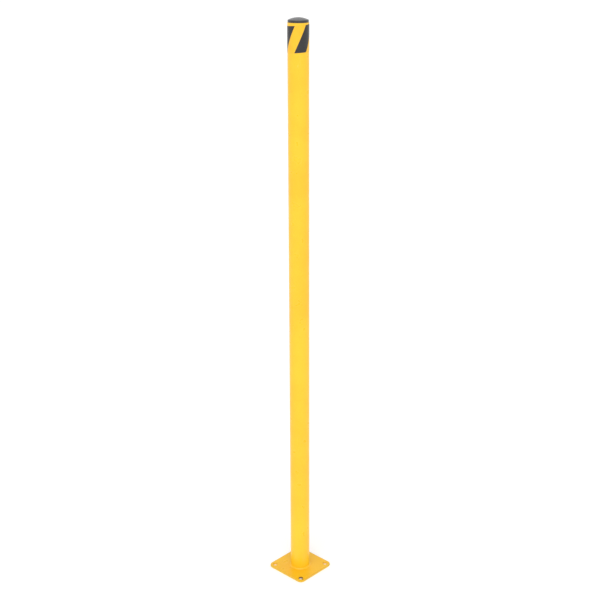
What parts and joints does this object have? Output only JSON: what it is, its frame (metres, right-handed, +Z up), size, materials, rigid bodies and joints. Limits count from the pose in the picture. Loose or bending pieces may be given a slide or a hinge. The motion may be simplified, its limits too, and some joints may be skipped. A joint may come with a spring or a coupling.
{
  "type": "safety bollard",
  "caption": "Tall round steel bollard post on a square bolt-down floor plate, with diagonal hazard tape below a push-in domed cap.",
  "frame": {"origin": "middle of the floor plate's underside, on the floor", "axes": "+Z up along the post; X and Y along the sides of the square floor plate"},
  "size_m": [0.1524, 0.1524, 1.8288],
  "materials": {
    "powder_coat": "satin",
    "tape_film": "glossy",
    "black_plastic": "matte"
  },
  "bodies": {
    "post": {"base_plate": "powder_coat", "post_pipe": "powder_coat", "foot_weld": "powder_coat", "hazard_tape": "tape_film"},
    "cap": {"top_cap": "black_plastic"}
  },
  "joints": [
    {"name": "cap_lift", "type": "slide", "parent": "post", "child": "cap", "axis": [0, 0, 1], "range_m": [0, 0.06]}
  ]
}
